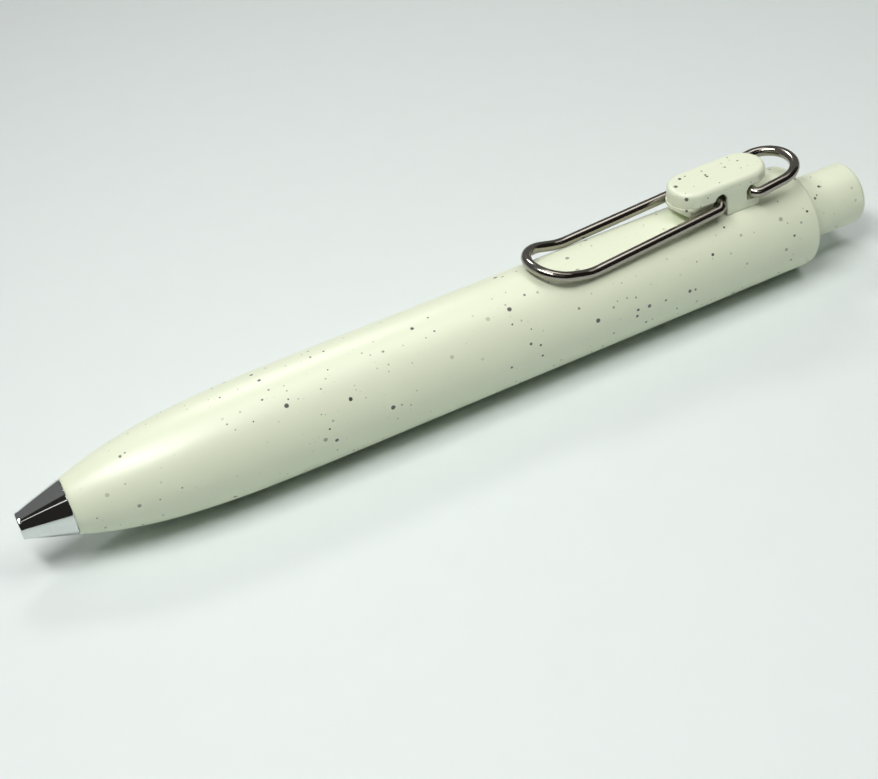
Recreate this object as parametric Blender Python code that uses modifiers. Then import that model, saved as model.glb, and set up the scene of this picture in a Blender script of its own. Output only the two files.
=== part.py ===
"""Retractable gel pen with a metal nose and a rocking wire clip, as separate pieces.

Run with: blender --background --python part.py

Lengths in this file are millimetres, and the helpers turn them into metres. Stations along the
pen are counted from the nose tip towards the knob. The pen lies along X on z = 0, with its knob
towards +X, its clip straight up, and the middle of its length over the origin.
"""

import math

import bmesh
import bpy
from mathutils import Vector

MM = 0.001

# Whole pen
LENGTH = 117.0
SIDES = 32  # sides of a large round piece
SMALL_SIDES = 20  # sides of a small round piece
TINY_SIDES = 12
GAP = 0.3  # clearance between pieces that touch or slide on the real pen
CUT_REACH = 5.0  # how far a cutter runs past what it cuts

# Barrel
BARREL_RADIUS = 6.95
AXIS_HEIGHT = BARREL_RADIUS * math.cos(math.pi / SIDES)  # the barrel lies on one of its flats
BARREL_START = 6.3
BARREL_END = 107.5
GRIP_TAPER_END = 44.0  # from here back the barrel is straight
GRIP_TAPER_LENGTH = 38.0
GRIP_TAPER_DEPTH = 0.5  # share of the radius lost at the nose
GRIP_TAPER_POWER = 3.8
GRIP_RINGS = 11
GRIP_RING_CROWDING = 0.72  # under 1, the rings stand closer together towards the nose
BARREL_END_ROUND = 0.7
NOSE_SOCKET_RADIUS = 3.05
NOSE_SOCKET_END = 14.6
MAIN_BORE_RADIUS = 3.9
REAR_BORE_START = 85.7
REAR_BORE_RADIUS = 5.75

# Nose cone
NOSE_END = 6.0
NOSE_RIM_RADIUS = 1.55
NOSE_BASE_RADIUS = 3.48
NOSE_BULGE = 0.05
NOSE_CHAMFER = 0.22
NOSE_RIM_EDGE = (0.05, -0.12)  # what the chamfer adds to the rim's radius behind it and before it
NOSE_HOLE_RADIUS = 1.25
NOSE_HOLE_END = 2.0
NOSE_BORE_RADIUS = 2.1
NOSE_BORE_START = 5.2
SPIGOT_RADIUS = 2.75
SPIGOT_END = 14.0

# Push knob and click mechanism
KNOB_RADIUS = 4.22
KNOB_START = 105.0
KNOB_ROUND = 0.85
KNOB_BORE_RADIUS = 3.6
KNOB_BORE_END = 115.6
CAM_LUGS = 4
CAM_TEETH = 8
LUG_RADIUS = 4.8
LUG_ROOT_RADIUS = 2.9
LUG_ANGLE = math.radians(15)
SLEEVE_START = 86.0
SLEEVE_END = 107.2
SLEEVE_RADIUS = 5.45
SLEEVE_BORE_RADIUS = 4.95
SLEEVE_LIP_START = 104.5
SLEEVE_LIP_RADIUS = 4.5
RIB_START = 93.0
RIB_END = 104.1
RIB_INNER_RADIUS = 4.45
RIB_OUTER_RADIUS = 5.25  # sunk in the sleeve's wall
PLUNGER_START = 99.5
PLUNGER_SHOULDER_END = 104.2
PLUNGER_END = 112.0
PLUNGER_BODY_RADIUS = 3.7
PLUNGER_SHANK_RADIUS = 3.3
PLUNGER_BORE_RADIUS = 2.2
PLUNGER_BORE_END = 104.4
PLUNGER_LUG_START = 100.9
PLUNGER_LUG_END = 103.9
ROTOR_START = 94.6
ROTOR_END = 99.2
ROTOR_RADIUS = 3.6
ROTOR_SOCKET_RADIUS = 2.2
ROTOR_SOCKET_END = 97.9
ROTOR_BOSS_RADIUS = 1.9
ROTOR_BOSS_END = 102.4
ROTOR_LUG_START = 95.0
ROTOR_LUG_END = 98.0
ROTOR_LUG_TURN = math.radians(-22.5)  # where its lugs lie in the grooves at rest
ROTOR_TOOTH_ROOT = 2.5
TOOTH_DEPTH = 0.8
TOOTH_RING_RADIUS = 6.0  # outside everything that has teeth
TOOTH_RING_REACH = 1.5  # each way from the toothed end
NOTCH_LIFT = 0.07  # how far off the toothed end the notches' centre lines lie

# Refill
BALL_RADIUS = 0.25
BALL_STATION = 1.78
TIP_START = 1.82
TIP_CONE_END = 3.9
TIP_MOUTH_RADIUS = 0.42
TIP_RADIUS = 1.1
TIP_BODY_END = 7.8
TIP_SHANK_RADIUS = 0.75
TIP_SHANK_END = 11.6
TIP_CHANNEL_RADIUS = 0.3
BALL_SPRING_START = 2.4
BALL_SPRING_END = 6.6
BALL_SPRING_RADIUS = 0.17
BALL_SPRING_WIRE = 0.05
BALL_SPRING_TURNS = 7
HOLDER_START = 8.1
HOLDER_RADIUS = 1.35
HOLDER_SOCKET_RADIUS = 1.05
HOLDER_SOCKET_END = 11.9
HOLDER_CHANNEL_RADIUS = 0.5
HOLDER_SHOULDER_START = 24.0
HOLDER_SHOULDER_RADIUS = 2.9
TUBE_START = 27.0
TUBE_END = 93.0
TUBE_RADIUS = 3.05
TUBE_BORE_RADIUS = 2.3
PLUG_FIT_RADIUS = 2.0  # what sits inside the tube's bore
HOLDER_END = 31.0
VALVE_RADIUS = 1.15
VALVE_START = 27.6
VALVE_SEAT_LENGTH = 0.6
VALVE_BALL_RADIUS = 0.8
VALVE_BALL_STATION = 28.9
INK_START = 31.4
INK_END = 79.5
FOLLOWER_END = 86.0
FLOAT_RADIUS = 0.9
TAIL_START = 89.0
TAIL_FLANGE_END = 94.3
TAIL_NECK_END = 97.5
TAIL_NECK_RADIUS = 1.9
TAIL_VENT_RADIUS = 0.5

# Return spring
SPRING_START = 5.75
SPRING_END = 23.6
SPRING_RADIUS = 1.72
SPRING_WIRE = 0.17
SPRING_TURNS = 11
SPRING_END_TURNS = 1.0  # closed turns at each end
CLOSED_PITCH = 2.3  # of a closed turn, in wire radii

# Clip holder; heights are above the pen's axis
CAP_START = 88.7
CAP_END = 102.6
CAP_HALF_WIDTH = 3.15
CAP_TOP = 10.98
CAP_BOTTOM = 9.0
CAP_ROOF = 9.75
CAP_RECESS_HALF_WIDTH = 2.6
CAP_RECESS_END = 99.9
CAP_EDGE = 0.3
HOLDER_FOOT = 5.0  # under the barrel's surface, before the seat is cut
LEG_START = 95.3
LEG_END = 100.2
LEG_TOP = 9.55
LEG_THICKNESS = 0.5
SEAT_RADIUS = BARREL_RADIUS + 0.25  # undersides of the holder follow the barrel
ARCH_STATION = 94.35
ARCH_RADIUS = 0.85
ARCH_HEIGHT = 8.85
SLOT_START = 98.3  # the rear wire's way in, open to the rear above a low stretch of the leg
SLOT_CORNER = 0.75
SLOT_BOTTOM = 7.45
SLOT_TOP = 9.42
BASE_BLOCK_END = 93.3
BASE_TOP = 8.72
LIP_START = 88.6  # the base's upper edge, which shows under the cap
LIP_HALF_WIDTH = 2.85
LIP_BOTTOM = 8.45
WALL_START = 88.8
WALL_HALF_WIDTH = 2.65
RAMP_TOP = (88.4, 8.6)  # station and height; the base's front underside slants from here
RAMP_FOOT = (91.7, 6.85)
RAMP_CUT_LENGTH = 4.2
SPINE_HALF_WIDTH = 0.8
SPINE_END = 99.2
SPINE_TOP = 9.45
PEG_STATIONS = (91.9, 97.2)
PEG_RADIUS = 0.55
PEG_BOTTOM = 5.95
PEG_TOP = 7.8
PEG_HOLE_RADIUS = 0.85
PEG_HOLE_LENGTH = 3.0

# Clip wire
WIRE_RADIUS = 0.68
PIVOT = (96.8, 0.0, 8.6)
FRONT_STATION = 68.2
FRONT_HEIGHT = 8.1
TOUCH_STATION = 74.3
TOUCH_HEIGHT = 6.45
TOUCH_BEND = 8.0
ARM_SPREAD = 4.02
ARM_SPREAD_AT_HOLDER = 3.52
ARM_HEIGHT_AT_HOLDER = 7.95
INNER_SPREAD = 1.75
INNER_HEIGHTS = (8.65, 8.7)  # of the run inside the holder, at its front and rear ends
REAR_CROSSING = 99.1
LOOP_END = 106.95
LOOP_SPREAD = 3.82
LOOP_HEIGHTS = (8.35, 9.35)
HOOK_BEND = 0.85
END_BEND_SLACK = 0.1  # by which a loop's bend is smaller than half its width
END_BUTT = 0.2

COLLECTION = "gel_pen"


# ---------------------------------------------------------------- scene, materials and helpers


def clear_scene():
    for item in list(bpy.data.objects):
        bpy.data.objects.remove(item, do_unlink=True)


def collection(name):
    made = bpy.data.collections.new(name)
    bpy.context.scene.collection.children.link(made)
    return made


def material(name, colour, roughness, metallic=0.0, alpha=1.0):
    made = bpy.data.materials.new(name)
    made.use_nodes = True
    shader = made.node_tree.nodes["Principled BSDF"]
    shader.inputs["Base Color"].default_value = (*colour, 1.0)
    shader.inputs["Roughness"].default_value = roughness
    shader.inputs["Metallic"].default_value = metallic
    shader.inputs["Alpha"].default_value = alpha
    return made


def empty(name, parent=None, location=(0, 0, 0), rotation=(0, 0, 0)):
    made = bpy.data.objects.new(name, None)
    made.empty_display_size = 5 * MM
    made.location = Vector(location) * MM
    made.rotation_euler = rotation
    made.parent = parent
    PARTS.objects.link(made)
    return made


def add_object(name, data, parent, location, finish):
    """A named piece, in millimetres of its parent's frame; a piece without a finish is a tool."""
    made = bpy.data.objects.new(name, data)
    made.location = Vector(location) * MM
    made.parent = parent
    if finish is None:
        made.hide_render = True
        made.display_type = "WIRE"
        CUTTERS.objects.link(made)
    else:
        data.materials.append(finish)
        PARTS.objects.link(made)
    return made


def turned(name, profile, finish, sides=SIDES, station=0.0, closed=True):
    """A turned piece on the pen's axis. The profile is (station, radius) points, from the rear end
    forwards along the outside and, where the piece is hollow, back along the inside."""
    mesh = bpy.data.meshes.new(name)
    points = [(radius * MM, 0.0, (at - station) * MM) for at, radius in profile]
    edges = [(i, i + 1) for i in range(len(points) - 1)]
    if closed:
        edges.append((len(points) - 1, 0))
    mesh.from_pydata(points, edges, [])
    made = add_object(name, mesh, AXIS, (0, 0, station), finish)
    made.rotation_euler = (0, 0, math.pi / sides)  # a flat of the outline faces down
    screw = made.modifiers.new("turn", "SCREW")
    screw.axis = "Z"
    screw.steps = screw.render_steps = sides
    screw.use_merge_vertices = True
    screw.merge_threshold = 1e-7
    screw.use_smooth_shade = True
    return made


def rod(start, end, radius):
    """The profile of a solid cylinder."""
    return [(end, 0), (end, radius), (start, radius), (start, 0)]


def tube(start, end, outer, inner):
    """The profile of a plain tube."""
    return [(end, outer), (start, outer), (start, inner), (end, inner)]


def arc(station, radius, bend, start_deg, end_deg, steps):
    """Profile points on an arc about (station, radius); 0 degrees points outwards, 90 to the rear."""
    angles = [
        math.radians(start_deg + (end_deg - start_deg) * i / steps) for i in range(steps + 1)
    ]
    return [(station + bend * math.sin(a), radius + bend * math.cos(a)) for a in angles]


def box(name, low, high, finish=None, parent=None, turn=(0, 0, 0)):
    """A box between two corners."""
    centre = [(a + b) / 2 for a, b in zip(low, high)]
    mesh = bpy.data.meshes.new(name)
    shape = bmesh.new()
    bmesh.ops.create_cube(shape, size=1.0)
    bmesh.ops.scale(shape, vec=[(b - a) * MM for a, b in zip(low, high)], verts=shape.verts)
    shape.to_mesh(mesh)
    shape.free()
    made = add_object(name, mesh, parent or FRAME, centre, finish)
    made.rotation_euler = turn
    return made


def cylinder(name, centre, radius, length, turn, sides=SMALL_SIDES, parent=None):
    """A cylinder for a Boolean, along Z before it is turned."""
    mesh = bpy.data.meshes.new(name)
    shape = bmesh.new()
    bmesh.ops.create_cone(
        shape,
        cap_ends=True,
        segments=sides,
        radius1=radius * MM,
        radius2=radius * MM,
        depth=length * MM,
    )
    shape.to_mesh(mesh)
    shape.free()
    made = add_object(name, mesh, parent or FRAME, centre, None)
    made.rotation_euler = turn
    return made


def outline_solid(name, outline, low, high, finish):
    """A flat outline of (station, y) points extruded from one height to another."""
    curve = bpy.data.curves.new(name, "CURVE")
    curve.dimensions = "2D"
    curve.fill_mode = "BOTH"
    curve.extrude = (high - low) / 2 * MM
    spline = curve.splines.new("POLY")
    spline.points.add(len(outline) - 1)
    for point, (x, y) in zip(spline.points, outline):
        point.co = (x * MM, y * MM, 0, 1)
    spline.use_cyclic_u = True
    return as_mesh(add_object(name, curve, FRAME, (0, 0, (low + high) / 2), finish), finish)


def as_mesh(source, finish):
    """A curve object made a mesh object of the same name, place and parent."""
    graph = bpy.context.evaluated_depsgraph_get()
    mesh = bpy.data.meshes.new_from_object(source.evaluated_get(graph))
    shape = bmesh.new()
    shape.from_mesh(mesh)
    bmesh.ops.remove_doubles(shape, verts=shape.verts, dist=1e-7)
    bmesh.ops.recalc_face_normals(shape, faces=shape.faces)
    shape.to_mesh(mesh)
    shape.free()
    name, parent, location = source.name, source.parent, source.location / MM
    bpy.data.objects.remove(source, do_unlink=True)
    mesh.materials.clear()
    return add_object(name, mesh, parent, location, finish)


def wire(name, points, radius, finish, origin=(0, 0, 0)):
    """A round wire through points, in the frame of the pen's lying axis."""
    curve = bpy.data.curves.new(name, "CURVE")
    curve.dimensions = "3D"
    curve.bevel_depth = radius * MM
    curve.bevel_resolution = 2
    curve.use_fill_caps = True
    spline = curve.splines.new("POLY")
    spline.points.add(len(points) - 1)
    for point, place in zip(spline.points, points):
        point.co = (*((Vector(place) - Vector(origin)) * MM), 1)
    spline.use_smooth = True
    return add_object(name, curve, FRAME, origin, finish)


def boolean(target, tool, operation):
    change = target.modifiers.new(f"{operation.lower()} {tool.name}", "BOOLEAN")
    change.operation = operation
    change.solver = "EXACT"
    change.object = tool


def rounded_path(corners, steps_per_bend):
    """Points along straight runs between (place, bend radius) corners, with an arc at each bend."""
    path = [Vector(corners[0][0])]
    for (before, _), (place, bend), (after, _) in zip(corners, corners[1:], corners[2:]):
        corner = Vector(place)
        into = (Vector(before) - corner).normalized()
        out = (Vector(after) - corner).normalized()
        half = into.angle(out) / 2
        reach = bend / math.tan(half)
        centre = corner + (into + out).normalized() * (bend / math.sin(half))
        first, last = corner + into * reach - centre, corner + out * reach - centre
        sweep = first.angle(last)
        for i in range(steps_per_bend + 1):
            share = i / steps_per_bend
            path.append(
                centre
                + first * (math.sin(sweep * (1 - share)) / math.sin(sweep))
                + last * (math.sin(sweep * share) / math.sin(sweep))
            )
    path.append(Vector(corners[-1][0]))
    return path


def coil_points(start, end, radius, turns, end_turns, points_per_turn):
    """A compression spring along the pen, with closely wound turns at both ends."""
    total = turns + 2 * end_turns
    count = int(total * points_per_turn)
    closed_pitch = CLOSED_PITCH * SPRING_WIRE
    closed = closed_pitch * end_turns
    points = []
    for i in range(count + 1):
        turn = total * i / count
        if turn < end_turns:
            at = start + closed_pitch * turn
        elif turn > total - end_turns:
            at = end - closed_pitch * (total - turn)
        else:
            at = start + closed + (end - start - 2 * closed) * (turn - end_turns) / turns
        angle = 2 * math.pi * turn
        points.append((at, radius * math.cos(angle), radius * math.sin(angle)))
    return points


# ---------------------------------------------------------------- casing


def barrel_radius(station):
    """The outside of the barrel: straight, then falling faster and faster towards the nose."""
    share = max(0.0, (GRIP_TAPER_END - station) / GRIP_TAPER_LENGTH)
    return BARREL_RADIUS * (1 - GRIP_TAPER_DEPTH * share**GRIP_TAPER_POWER)


def barrel():
    rings = []
    for i in range(GRIP_RINGS + 1):
        share = i / GRIP_RINGS
        station = GRIP_TAPER_END + (BARREL_START - GRIP_TAPER_END) * share**GRIP_RING_CROWDING
        rings.append((station, barrel_radius(station)))
    rear = arc(
        BARREL_END - BARREL_END_ROUND, BARREL_RADIUS - BARREL_END_ROUND, BARREL_END_ROUND, 90, 0, 3
    )
    inside = [
        (BARREL_START, NOSE_SOCKET_RADIUS),
        (NOSE_SOCKET_END, NOSE_SOCKET_RADIUS),
        (NOSE_SOCKET_END + 1.0, MAIN_BORE_RADIUS),
        (REAR_BORE_START, MAIN_BORE_RADIUS),
        (REAR_BORE_START, REAR_BORE_RADIUS),
        (BARREL_END, REAR_BORE_RADIUS),
    ]
    made = turned("barrel", rear + rings + inside, CREAM)
    for number, station in enumerate(PEG_STATIONS):
        centre = (station, 0, BARREL_RADIUS)
        hole = cylinder(f"peg_hole_{number}", centre, PEG_HOLE_RADIUS, PEG_HOLE_LENGTH, (0, 0, 0))
        boolean(made, hole, "DIFFERENCE")


def nose_cone():
    steps = 4
    outside = []
    for i in range(steps + 1):
        share = 1 - i / steps
        straight = NOSE_RIM_RADIUS + (NOSE_BASE_RADIUS - NOSE_RIM_RADIUS) * share
        outside.append((NOSE_END * share, straight + NOSE_BULGE * 4 * share * (1 - share)))
    behind, before = NOSE_RIM_EDGE
    outside[-1] = (NOSE_CHAMFER, NOSE_RIM_RADIUS + behind)
    profile = [
        (SPIGOT_END, SPIGOT_RADIUS),
        (NOSE_END, SPIGOT_RADIUS),
        *outside,
        (0.0, NOSE_RIM_RADIUS + before),
        (0.0, NOSE_HOLE_RADIUS),
        (NOSE_HOLE_END, NOSE_HOLE_RADIUS),
        (NOSE_BORE_START, NOSE_BORE_RADIUS),
        (SPIGOT_END, NOSE_BORE_RADIUS),
    ]
    turned("nose_cone", profile, CHROME)


# ---------------------------------------------------------------- click mechanism


def spoke(name, radii, width, reach, angle):
    """A box that stands out from the axis at an angle, between two radii and two stations."""
    (inner, outer), (start, end) = radii, reach
    middle, half = (inner + outer) / 2, (outer - inner) / 2
    place = Vector((middle * math.cos(angle), middle * math.sin(angle), (start + end) / 2))
    corner = Vector((half, width / 2, (end - start) / 2))
    return box(name, place - corner, place + corner, parent=AXIS, turn=(0, 0, angle))


def lugs(target, name, start, end, turn):
    """Boxes that stand out of a round piece between two stations, joined to it."""
    width = 2 * LUG_RADIUS * math.sin(LUG_ANGLE / 2)
    for number in range(CAM_LUGS):
        angle = turn + (number + 0.5) * 2 * math.pi / CAM_LUGS
        lug = spoke(f"{name}_lug_{number}", (LUG_ROOT_RADIUS, LUG_RADIUS), width, (start, end), angle)
        boolean(target, lug, "UNION")


def guide_sleeve():
    profile = [
        (SLEEVE_END, SLEEVE_RADIUS),
        (SLEEVE_START, SLEEVE_RADIUS),
        (SLEEVE_START, SLEEVE_BORE_RADIUS),
        (SLEEVE_LIP_START, SLEEVE_BORE_RADIUS),
        (SLEEVE_LIP_START, SLEEVE_LIP_RADIUS),
        (SLEEVE_END, SLEEVE_LIP_RADIUS),
    ]
    made = turned("guide_sleeve", profile, GREY_PLASTIC)
    width = 2 * RIB_INNER_RADIUS * math.sin(LUG_ANGLE / 2)
    for number in range(CAM_LUGS):
        angle = number * 2 * math.pi / CAM_LUGS
        radii, reach = (RIB_INNER_RADIUS, RIB_OUTER_RADIUS), (RIB_START, RIB_END)
        boolean(made, spoke(f"sleeve_rib_{number}", radii, width, reach, angle), "UNION")


def rotor():
    profile = [
        (ROTOR_BOSS_END, 0),
        (ROTOR_BOSS_END, ROTOR_BOSS_RADIUS),
        (ROTOR_END - TOOTH_DEPTH, ROTOR_BOSS_RADIUS),
        (ROTOR_END, ROTOR_TOOTH_ROOT),
        (ROTOR_END, ROTOR_RADIUS),
        (ROTOR_START, ROTOR_RADIUS),
        (ROTOR_START, ROTOR_SOCKET_RADIUS),
        (ROTOR_SOCKET_END, ROTOR_SOCKET_RADIUS),
        (ROTOR_SOCKET_END, 0),
    ]
    made = turned("rotor", profile, WHITE_PLASTIC, station=ROTOR_START, closed=False)
    cut_teeth(made, "rotor", ROTOR_END, 1, ROTOR_BOSS_RADIUS + GAP)
    lugs(made, "rotor", ROTOR_LUG_START, ROTOR_LUG_END, ROTOR_LUG_TURN)


def cut_teeth(target, name, station, outwards, inner):
    """V notches across a round piece's end, spaced so that teeth stand between them. A boss or a
    bore inside the inner radius isn't cut; outwards is the way the end faces, +1 to the rear."""
    profile = tube(station - TOOTH_RING_REACH, station + TOOTH_RING_REACH, TOOTH_RING_RADIUS, inner)
    ring = turned(f"{name}_tooth_ring", profile, None)
    side = TOOTH_DEPTH * math.sqrt(2)
    centre = station + NOTCH_LIFT * outwards
    far = TOOTH_RING_RADIUS + GAP
    bars = []
    for number in range(CAM_TEETH // 2):
        turn = 2 * math.pi * number / CAM_TEETH
        turner = empty(f"{name}_notch_turn_{number}", AXIS, (0, 0, centre), (0, 0, turn))
        low, high = (-far, -side / 2, -side / 2), (far, side / 2, side / 2)
        bars.append(
            box(f"{name}_notch_{number}", low, high, parent=turner, turn=(math.pi / 4, 0, 0))
        )
    for bar in bars[1:]:
        boolean(bars[0], bar, "UNION")
    boolean(ring, bars[0], "INTERSECT")
    boolean(target, ring, "DIFFERENCE")


def plunger():
    profile = [
        (PLUNGER_END, 0),
        (PLUNGER_END, PLUNGER_SHANK_RADIUS),
        (PLUNGER_SHOULDER_END, PLUNGER_SHANK_RADIUS),
        (PLUNGER_SHOULDER_END, PLUNGER_BODY_RADIUS),
        (PLUNGER_START, PLUNGER_BODY_RADIUS),
        (PLUNGER_START, PLUNGER_BORE_RADIUS),
        (PLUNGER_BORE_END, PLUNGER_BORE_RADIUS),
        (PLUNGER_BORE_END, 0),
    ]
    made = turned("plunger", profile, WHITE_PLASTIC, station=PLUNGER_START, closed=False)
    cut_teeth(made, "plunger", PLUNGER_START, -1, 1.0)
    lugs(made, "plunger", PLUNGER_LUG_START, PLUNGER_LUG_END, 0.0)


def knob():
    rim = arc(LENGTH - KNOB_ROUND, KNOB_RADIUS - KNOB_ROUND, KNOB_ROUND, 90, 0, 3)
    profile = [
        (LENGTH, 0),
        *rim,
        (KNOB_START, KNOB_RADIUS),
        (KNOB_START, KNOB_BORE_RADIUS),
        (KNOB_BORE_END, KNOB_BORE_RADIUS),
        (KNOB_BORE_END, 0),
    ]
    turned("knob", profile, CREAM, station=KNOB_START, closed=False)


# ---------------------------------------------------------------- refill


def refill():
    tip = [
        (TIP_SHANK_END, TIP_SHANK_RADIUS),
        (TIP_BODY_END, TIP_SHANK_RADIUS),
        (TIP_BODY_END, TIP_RADIUS),
        (TIP_CONE_END, TIP_RADIUS),
        (TIP_START, TIP_MOUTH_RADIUS),
        (TIP_START, TIP_CHANNEL_RADIUS),
        (TIP_SHANK_END, TIP_CHANNEL_RADIUS),
    ]
    turned("writing_tip", tip, STEEL, TINY_SIDES, TIP_START)
    ball("tip_ball", BALL_STATION, BALL_RADIUS, STEEL)
    wire(
        "ball_spring",
        coil_points(
            BALL_SPRING_START, BALL_SPRING_END, BALL_SPRING_RADIUS, BALL_SPRING_TURNS, 0, 8
        ),
        BALL_SPRING_WIRE,
        STEEL,
    )
    holder = [
        (HOLDER_END, PLUG_FIT_RADIUS),
        (TUBE_START - GAP, PLUG_FIT_RADIUS),
        (TUBE_START - GAP, HOLDER_SHOULDER_RADIUS),
        (HOLDER_SHOULDER_START, HOLDER_SHOULDER_RADIUS),
        (HOLDER_SHOULDER_START, HOLDER_RADIUS),
        (HOLDER_START, HOLDER_RADIUS),
        (HOLDER_START, HOLDER_SOCKET_RADIUS),
        (HOLDER_SOCKET_END, HOLDER_SOCKET_RADIUS),
        (HOLDER_SOCKET_END, HOLDER_CHANNEL_RADIUS),
        (VALVE_START, HOLDER_CHANNEL_RADIUS),
        (VALVE_START + VALVE_SEAT_LENGTH, VALVE_RADIUS),
        (HOLDER_END, VALVE_RADIUS),
    ]
    turned("tip_holder", holder, WHITE_PLASTIC, SMALL_SIDES, HOLDER_START)
    ball("valve_ball", VALVE_BALL_STATION, VALVE_BALL_RADIUS, STEEL)
    turned(
        "refill_tube",
        tube(TUBE_START, TUBE_END, TUBE_RADIUS, TUBE_BORE_RADIUS),
        CLEAR_PLASTIC,
        SMALL_SIDES,
        TUBE_START,
    )
    turned(
        "ink_column",
        rod(INK_START, INK_END, PLUG_FIT_RADIUS),
        INK,
        SMALL_SIDES,
        INK_START,
        closed=False,
    )
    turned(
        "ink_follower",
        tube(INK_END + GAP, FOLLOWER_END, PLUG_FIT_RADIUS, FLOAT_RADIUS + GAP),
        GREASE,
        SMALL_SIDES,
        INK_END,
    )
    turned(
        "follower_float",
        rod(INK_END + 2 * GAP, FOLLOWER_END - GAP, FLOAT_RADIUS),
        CLEAR_PLASTIC,
        TINY_SIDES,
        INK_END,
        closed=False,
    )
    tail = [
        (TAIL_NECK_END, TAIL_NECK_RADIUS),
        (TAIL_FLANGE_END, TAIL_NECK_RADIUS),
        (TAIL_FLANGE_END, TUBE_RADIUS),
        (TUBE_END + GAP, TUBE_RADIUS),
        (TUBE_END + GAP, PLUG_FIT_RADIUS),
        (TAIL_START, PLUG_FIT_RADIUS),
        (TAIL_START, TAIL_VENT_RADIUS),
        (TAIL_NECK_END, TAIL_VENT_RADIUS),
    ]
    turned("tail_plug", tail, WHITE_PLASTIC, SMALL_SIDES, TAIL_START)


def ball(name, station, radius, finish):
    mesh = bpy.data.meshes.new(name)
    shape = bmesh.new()
    bmesh.ops.create_uvsphere(shape, u_segments=TINY_SIDES, v_segments=8, radius=radius * MM)
    shape.to_mesh(mesh)
    shape.free()
    mesh.shade_smooth()
    add_object(name, mesh, FRAME, (station, 0, 0), finish)


def return_spring():
    points = coil_points(
        SPRING_START, SPRING_END, SPRING_RADIUS, SPRING_TURNS, SPRING_END_TURNS, 9
    )
    wire("return_spring", points, SPRING_WIRE, STEEL)


# ---------------------------------------------------------------- clip


def round_end(station, half_width, direction, steps=8):
    """Points of a half circle that ends an outline, from its +Y side to its -Y side or back."""
    turn = [math.pi * i / steps for i in range(steps + 1)]
    return [
        (station + direction * half_width * math.sin(a), direction * -half_width * math.cos(a))
        for a in turn
    ]


def seat_cutter(name):
    """The room that the barrel takes under the holder."""
    length = CAP_END - CAP_START + 4
    centre = ((CAP_START + CAP_END) / 2, 0, 0)
    return cylinder(name, centre, SEAT_RADIUS, length, (0, math.pi / 2, 0), 48)


def base_outline(start, half_width):
    """The base's front from above: a round end and straight sides back to the block's end."""
    return round_end(start + half_width, half_width, -1) + [
        (BASE_BLOCK_END, -half_width),
        (BASE_BLOCK_END, half_width),
    ]


def clip_base():
    made = outline_solid(
        "clip_base", base_outline(LIP_START, LIP_HALF_WIDTH), LIP_BOTTOM, BASE_TOP, CREAM
    )
    wall_top = (LIP_BOTTOM + BASE_TOP) / 2
    wall = outline_solid(
        "base_wall", base_outline(WALL_START, WALL_HALF_WIDTH), HOLDER_FOOT, wall_top, None
    )
    spine = box(
        "base_spine",
        (BASE_BLOCK_END - GAP, -SPINE_HALF_WIDTH, HOLDER_FOOT + GAP),
        (SPINE_END, SPINE_HALF_WIDTH, SPINE_TOP),
    )
    spine_front = box(
        "base_spine_front",
        (BASE_BLOCK_END - CUT_REACH, -CUT_REACH, BASE_TOP),
        (BASE_BLOCK_END + GAP, CUT_REACH, SPINE_TOP + CUT_REACH),
    )
    boolean(spine, spine_front, "DIFFERENCE")
    boolean(made, wall, "UNION")
    boolean(made, spine, "UNION")
    (top_station, top_height), (foot_station, foot_height) = RAMP_TOP, RAMP_FOOT
    slope = math.atan2(top_height - foot_height, foot_station - top_station)
    ramp = empty("base_ramp", FRAME, (top_station, 0, top_height), (0, slope, 0))
    under = (-CUT_REACH, -CUT_REACH, -CUT_REACH)
    below = box("base_ramp_cut", under, (RAMP_CUT_LENGTH, CUT_REACH, 0), parent=ramp)
    boolean(made, below, "DIFFERENCE")
    boolean(made, seat_cutter("base_seat"), "DIFFERENCE")
    for number, station in enumerate(PEG_STATIONS):
        peg = cylinder(
            f"base_peg_{number}",
            (station, 0, (PEG_BOTTOM + PEG_TOP) / 2),
            PEG_RADIUS,
            PEG_TOP - PEG_BOTTOM,
            (0, 0, 0),
            TINY_SIDES,
        )
        boolean(made, peg, "UNION")


def across(name, station, height, radius):
    """A cylinder through the holder from side to side, for a hole's round edge."""
    return cylinder(name, (station, 0, height), radius, 2 * CUT_REACH, (math.pi / 2, 0, 0))


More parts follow.
